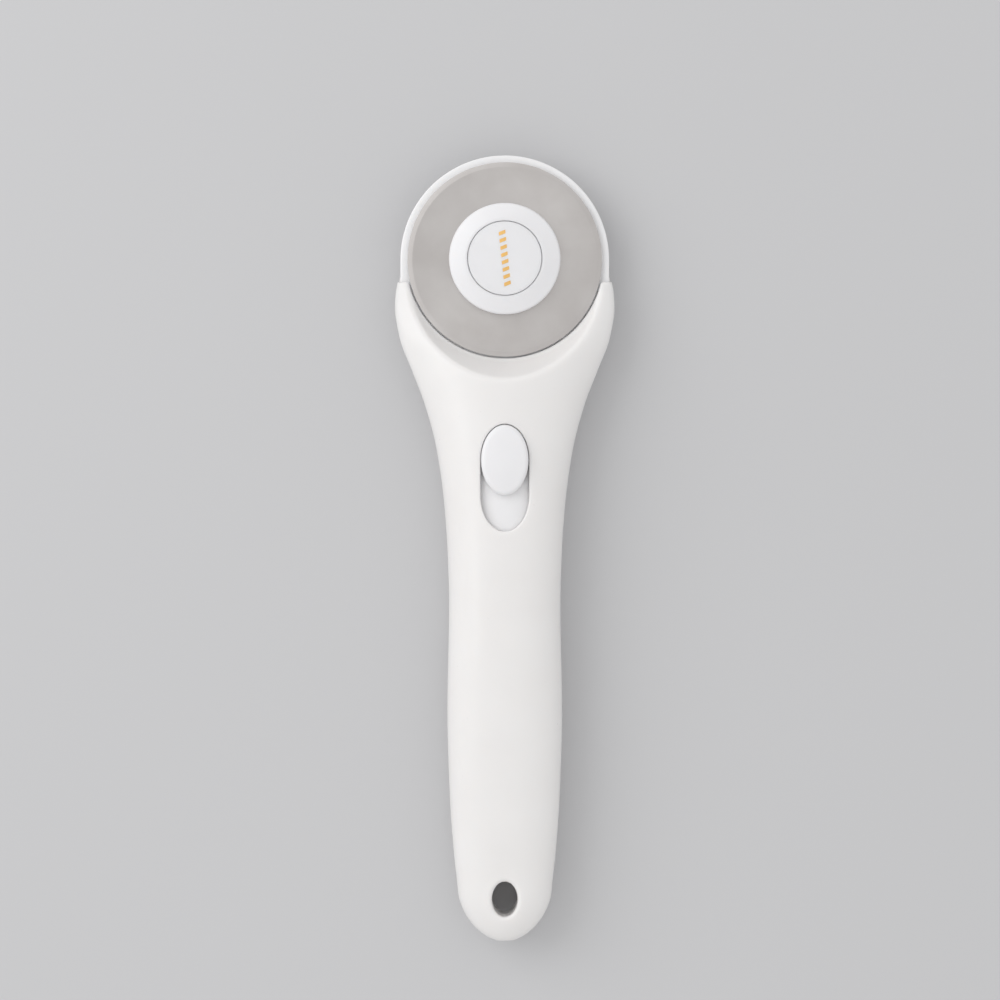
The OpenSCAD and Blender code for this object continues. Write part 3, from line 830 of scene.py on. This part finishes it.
def release():
    low, top = RELEASE_LOW[2], RELEASE_HIGH[2]
    flange_r = (RELEASE_HIGH[0] - RELEASE_LOW[0]) / 2
    face_r = flange_r - 1.3
    dish = [(r * face_r, low + 0.45 * (1 - (r / 0.78) ** 2), 0) for r in (0, 0.2, 0.4, 0.6, 0.78)]
    profile = fillet(dish + [(face_r, low, 0.35), (face_r, top - 1, 0), (flange_r, top - 1, 0.15),
                             (flange_r, top, 0.15), (0, top, 0)])
    piece("release_button_cap", lathe(profile, 128), "release",
          ["release_button"], WHITE, 50)
    wire_r = 0.22
    coil_r = (SPRING_HIGH[0] - SPRING_LOW[0]) / 2 - wire_r
    turns = 3
    steps = 48 * turns
    bottom, rise = SPRING_LOW[2] + wire_r, SPRING_HIGH[2] - SPRING_LOW[2] - 2 * wire_r
    around = arc(coil_r, 0, 2 * math.pi * turns, steps)
    path = [(x, y, bottom + rise * k / steps) for k, (x, y) in enumerate(around)]
    coil = piece("release_coil_spring", tube(path, wire_r), "handle",
                 ["release_spring"], SPRING)
    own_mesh(coil)


def dress_nodes():
    """CAD nodes whose own shape stays: a material, and softened edges."""
    looks = {
        "slider_screw": (SCREW, 0.1), "detent_screw": (SCREW, 0.1),
        "arbor_screws": (SCREW, 0.08), "detent_spring": (SPRING, 0.05), "arbor": (TURNED, 0.12),
        "latch_balls": (TURNED, 0), "release_pin": (TURNED, 0.08), "thrust_washer": (BRASS, 0.05),
        "hub_bush": (BRASS, 0.05),
    }
    for name, (material, width) in looks.items():
        node = frame["nodes"][name]
        node.data.materials.clear()
        node.data.materials.append(material)
        if width:
            edges = node.modifiers.new("soft_edges", "BEVEL")
            edges.width = width * MM
            edges.segments = 2
            edges.limit_method = "ANGLE"
            edges.angle_limit = math.radians(35)


shells()
shell_screws()
guard()
slider()
blade_assembly()
release()
dress_nodes()


# ---- Stage ----


def plain_material(name, color, rough):
    m = Shader(name, color, Roughness=rough)
    low = tuple(c * 0.985 for c in color)
    m.drive("Base Color", m.tint(m.spread(m.noise(3, 2), 0, 1), low, color))
    return m.material


def floor():
    size = 6.0
    mesh = bpy.data.meshes.new("floor")
    corners = [(-size, -size, 0), (size, -size, 0), (size, size, 0), (-size, size, 0)]
    mesh.from_pydata(corners, [], [(0, 1, 2, 3)])
    mesh.materials.append(plain_material("floor_paint", (0.6, 0.6, 0.61), 0.7))
    obj = bpy.data.objects.new("floor", mesh)
    obj.location.z = -0.00002
    bpy.context.scene.collection.objects.link(obj)


def soft_light(name, at, size, power, aim=(0, 0, 0.01)):
    data = bpy.data.lights.new(name, "AREA")
    data.shape = "RECTANGLE"
    data.size, data.size_y = size
    data.energy = power
    obj = bpy.data.objects.new(name, data)
    obj.location = at
    obj.rotation_euler = (Vector(aim) - Vector(at)).to_track_quat("-Z", "Y").to_euler()
    bpy.context.scene.collection.objects.link(obj)


def lights():
    world = bpy.data.worlds.new("studio")
    world.use_nodes = True
    world.node_tree.nodes["Background"].inputs["Color"].default_value = (1, 1, 1, 1)
    world.node_tree.nodes["Background"].inputs["Strength"].default_value = 0.79
    bpy.context.scene.world = world
    soft_light("key", (-0.8, 0.45, 0.75), (1.0, 1.0), 4.6)


def camera():
    data = bpy.data.cameras.new("camera")
    data.sensor_width = 36
    view_mm, distance = 231.5, 0.85
    middle_x, middle_s = -1.1, 55.7
    data.lens = data.sensor_width / 2 / (view_mm * MM / 2 / distance)
    data.clip_start, data.clip_end = 0.01, 20
    obj = bpy.data.objects.new("camera", data)
    obj.location = (middle_x * MM, (AXIS_Y - middle_s) * MM, distance + BLADE_HIGH[2] * MM)
    bpy.context.scene.collection.objects.link(obj)
    bpy.context.scene.camera = obj


floor()
lights()
camera()
bpy.context.scene.view_settings.view_transform = "Standard"
